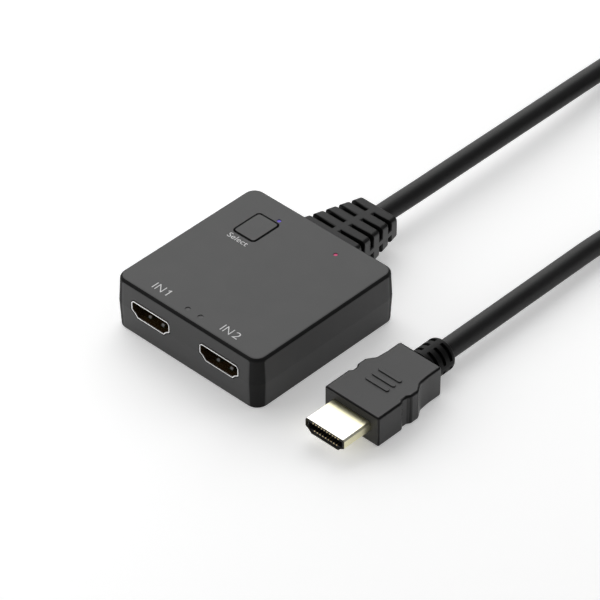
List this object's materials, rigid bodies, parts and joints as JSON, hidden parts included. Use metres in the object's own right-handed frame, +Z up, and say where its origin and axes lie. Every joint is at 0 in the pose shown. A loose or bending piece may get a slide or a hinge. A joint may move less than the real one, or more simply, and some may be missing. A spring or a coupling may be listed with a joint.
{
  "type": "video switch box",
  "caption": "Small matt black video switch box with front input ports, a select button and lights on top, and a fixed output cable with slotted strain relief and plug.",
  "frame": {"origin": "middle of the underside of the case", "axes": "+Z up out of the case's roof, -Y out of the input ports, +Y along the cable as it leaves the case, +X to the right seen from the ports"},
  "size_m": [0.0973, 0.2473, 0.0169],
  "materials": {
    "case_plastic": "fine matt texture",
    "button_plastic": "fine matt texture",
    "screw_steel": "zinc plated",
    "board_laminate": "solder mask",
    "port_steel": "bright nickel plated",
    "tongue_plastic": "matt",
    "contact_gold": "gold plated",
    "chip_epoxy": "moulded epoxy",
    "capacitor_body": "fired body with tinned ends",
    "led_body": "clear over white",
    "smoked_light_pipe": "smoked clear plastic",
    "blue_light_pipe": "blue clear plastic",
    "red_light_pipe": "red clear plastic",
    "boot_rubber": "satin moulded",
    "cable_jacket": "satin soft plastic",
    "wire_jacket": "satin",
    "plug_plastic": "fine matt texture",
    "plug_metal": "pale gold plated"
  },
  "bodies": {
    "case": {"upper_shell": "case_plastic", "lower_shell": "case_plastic", "case_screws": "screw_steel", "main_board": "board_laminate", "port_1_shell": "port_steel", "port_1_tongue": "tongue_plastic", "port_1_contacts": "contact_gold", "port_2_shell": "port_steel", "port_2_tongue": "tongue_plastic", "port_2_contacts": "contact_gold", "switch_chip": "chip_epoxy", "controller_chip": "chip_epoxy", "surge_arrays": "chip_epoxy", "capacitors": "capacitor_body", "resistors": "chip_epoxy", "push_switch_body": "tongue_plastic", "push_switch_dome": "port_steel", "push_switch_frame": "port_steel", "input_leds": "led_body", "blue_led": "led_body", "red_led": "led_body", "input_light_pipes": "smoked_light_pipe", "blue_light_pipe": "blue_light_pipe", "red_light_pipe": "red_light_pipe", "cable_boot": "boot_rubber", "cable_ferrule": "port_steel", "cable_inner_end": "cable_jacket", "signal_wires": "wire_jacket", "cable_box_stretch": "cable_jacket", "cable_coil": "cable_jacket", "cable_tie": "boot_rubber", "cable_plug_stretch": "cable_jacket", "plug_boot": "boot_rubber", "plug_grip": "plug_plastic", "plug_shell": "plug_metal", "plug_insulator": "tongue_plastic", "plug_contacts": "contact_gold"},
    "button": {"select_button": "button_plastic"},
    "plunger": {"push_switch_plunger": "tongue_plastic"}
  },
  "joints": [
    {"name": "button_press", "type": "slide", "parent": "case", "child": "button", "axis": [0, 0, -1], "range_m": [0, 0.0003], "stiffness_N_per_m": 3000},
    {"name": "plunger_press", "type": "slide", "parent": "case", "child": "plunger", "axis": [0, 0, -1], "range_m": [0, 0.0003], "deforming": ["push_switch_dome"]}
  ],
  "couplings": [
    {"joint": "plunger_press", "follows": "button_press", "ratio": 1}
  ]
}
